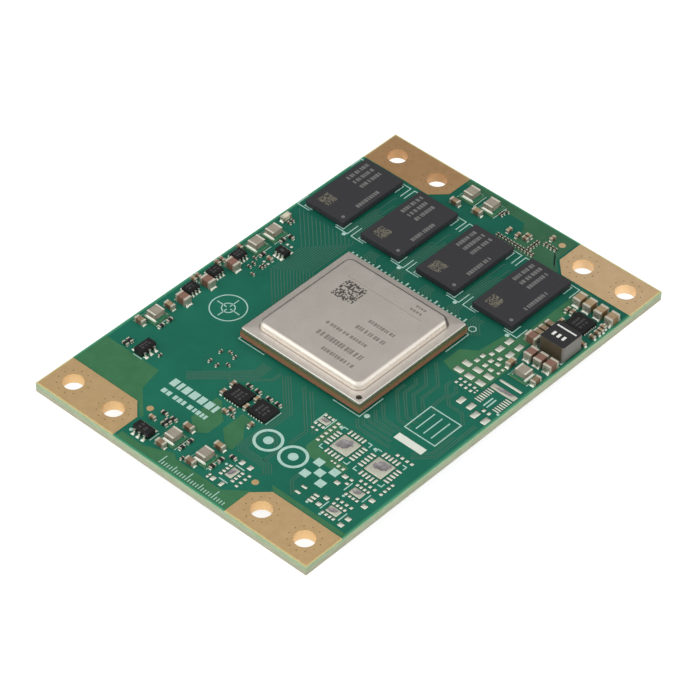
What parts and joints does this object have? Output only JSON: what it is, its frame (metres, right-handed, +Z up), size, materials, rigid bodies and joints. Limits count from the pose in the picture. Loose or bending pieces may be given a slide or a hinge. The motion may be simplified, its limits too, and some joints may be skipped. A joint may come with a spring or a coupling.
{
  "type": "system on module",
  "caption": "Green circuit module with a metal-lidded processor, memory chips, power parts, gold corner lands with mounting holes, and board-to-board plugs underneath.",
  "frame": {"origin": "under the middle of the board, on the plane of the plugs' mating faces", "axes": "+X along the long side of the board, away from the pictured left corner, +Y to the rear long side, +Z up out of the parts side"},
  "size_m": [0.076, 0.052, 0.0081],
  "materials": {
    "solder_mask": "green solder mask on woven laminate",
    "gold_plating": "matt gold plated copper",
    "contact_gold": "gold plated contact",
    "tin": "bright tinned metal and solder",
    "lid_nickel": "fine blasted nickel plate",
    "package_substrate": "brown laminate edge",
    "adhesive": "dark adhesive",
    "silicon": "polished silicon",
    "paste": "pale thermal paste",
    "chip_mould": "dark moulding compound",
    "coil_grey": "pressed grey metal powder",
    "brown_ceramic": "fired brown ceramic",
    "beige_ceramic": "fired beige ceramic",
    "resistor_black": "glazed black film on ceramic",
    "light_lens": "pale translucent resin",
    "choke_black": "pressed dark metal powder",
    "carrier_green": "green carrier board",
    "plug_plastic": "black moulded plastic"
  },
  "bodies": {
    "root": {"circuit_board": "solder_mask", "rear_left_land": "gold_plating", "rear_right_land": "gold_plating", "front_left_land": "gold_plating", "front_right_land": "gold_plating", "bare_pads": "tin", "alignment_marks": "gold_plating", "processor_substrate": "package_substrate", "processor_balls": "tin", "processor_die": "silicon", "thermal_paste": "paste", "lid_adhesive": "adhesive", "processor_lid": "lid_nickel", "memory_chip_1": "chip_mould", "memory_chip_2": "chip_mould", "memory_chip_3": "chip_mould", "memory_chip_4": "chip_mould", "memory_balls": "tin", "module_boards": "carrier_green", "module_coils": "coil_grey", "module_coil_ends": "tin", "brown_capacitors": "brown_ceramic", "beige_capacitors": "beige_ceramic", "large_capacitor_ends": "tin", "medium_capacitors": "beige_ceramic", "medium_capacitor_ends": "tin", "small_capacitors": "beige_ceramic", "small_capacitor_ends": "tin", "resistors": "resistor_black", "resistor_ends": "tin", "tiny_parts": "resistor_black", "tiny_part_ends": "tin", "indicator_light": "light_lens", "indicator_light_ends": "tin", "power_inductor": "choke_black", "power_inductor_feet": "tin", "regulator": "chip_mould", "regulator_leads": "tin", "clock_chips": "chip_mould", "clock_leads": "tin", "six_lead_chips": "chip_mould", "six_lead_chip_leads": "tin", "gate_chip": "chip_mould", "gate_chip_leads": "tin", "switch_chips": "chip_mould", "switch_chip_leads": "tin", "solder_joints": "tin", "plug_1": "plug_plastic", "plug_2": "plug_plastic", "plug_3": "plug_plastic", "plug_4": "plug_plastic", "plug_1_contacts": "contact_gold", "plug_2_contacts": "contact_gold", "plug_3_contacts": "contact_gold", "plug_4_contacts": "contact_gold", "underside_capacitors": "beige_ceramic", "underside_capacitor_ends": "tin"}
  },
  "joints": []
}
